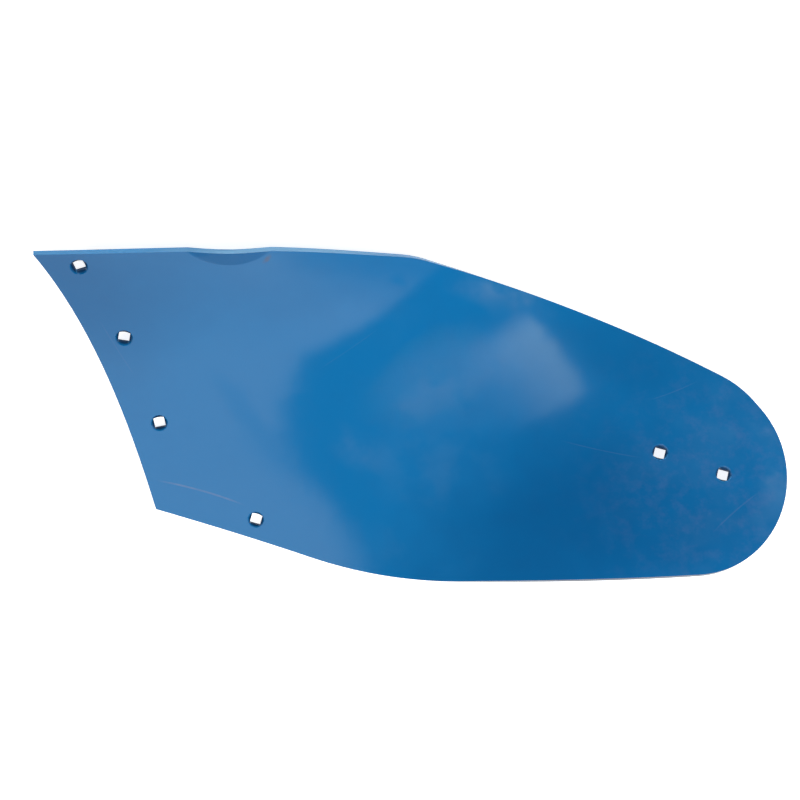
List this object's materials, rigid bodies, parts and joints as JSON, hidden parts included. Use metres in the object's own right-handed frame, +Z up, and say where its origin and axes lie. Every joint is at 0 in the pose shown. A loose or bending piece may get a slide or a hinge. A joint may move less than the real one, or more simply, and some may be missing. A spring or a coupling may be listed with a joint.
{
  "type": "plough mouldboard",
  "caption": "Twisted, hollow-faced steel plate that lifts and turns the furrow slice, with square countersunk holes for plough bolts along its shin and at its wing.",
  "frame": {"origin": "on the floor under the middle of the plate's box, with the plate lying on its back", "axes": "+X along the plate from the shin to the wing tip, +Y across it from the board's top edge to the share seam, +Z up, out of the hollow working face"},
  "size_m": [0.8715, 0.4024, 0.1486],
  "materials": {
    "blue_enamel": "gloss"
  },
  "bodies": {
    "root": {"mouldboard": "blue_enamel"}
  },
  "joints": []
}
